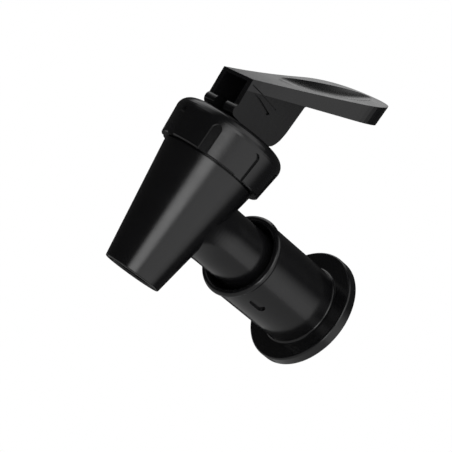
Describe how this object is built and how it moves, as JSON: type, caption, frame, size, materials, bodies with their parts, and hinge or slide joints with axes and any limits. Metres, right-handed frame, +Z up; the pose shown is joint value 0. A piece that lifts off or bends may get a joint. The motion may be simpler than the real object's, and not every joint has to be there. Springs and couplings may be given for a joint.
{
  "type": "coffee urn tap",
  "caption": "Black plastic urn tap: tapered spout under a fluted screw bonnet, paddle lever on top, and a barrel in a flanged wall collar.",
  "frame": {"origin": "centre of the flange's back face, on the axis of the barrel", "axes": "+Y along the barrel into the wall, so that the spout faces -Y; +Z up along the axis of the spout and the stem"},
  "size_m": [0.0362, 0.0754, 0.0843],
  "materials": {
    "black_plastic": "gloss",
    "white_plastic": "satin",
    "silicone": "matte",
    "black_rubber": "matte",
    "steel": "bright"
  },
  "bodies": {
    "tap_body": {"body": "black_plastic", "flange_collar": "black_plastic", "wall_gasket": "black_rubber", "socket_washer": "black_rubber", "bonnet": "black_plastic", "seat_cup": "silicone"},
    "swivel": {"thrust_washer": "white_plastic", "spring": "steel"},
    "stem": {"stem": "black_plastic", "spring_seat": "white_plastic", "lever_pin": "black_plastic"},
    "lever": {"lever": "black_plastic"}
  },
  "joints": [
    {"name": "swivel_turn", "type": "hinge", "parent": "tap_body", "child": "swivel", "pos_m": [0, -0.0585, 0.0262], "axis": [0, 0, 1], "continuous": true},
    {"name": "stem_lift", "type": "slide", "parent": "swivel", "child": "stem", "axis": [0, 0, 1], "range_m": [0, 0.00305], "stiffness_N_per_m": 900, "springref_m": -0.006, "deforming": ["spring", "seat_cup"]},
    {"name": "lever_tilt", "type": "hinge", "parent": "stem", "child": "lever", "pos_m": [0, -0.0585, 0.0317], "axis": [-0.9854, -0.1702, 0], "range_deg": [0, 35]}
  ],
  "couplings": [
    {"joint": "lever_tilt", "follows": "stem_lift", "rad_per_m": 200}
  ]
}
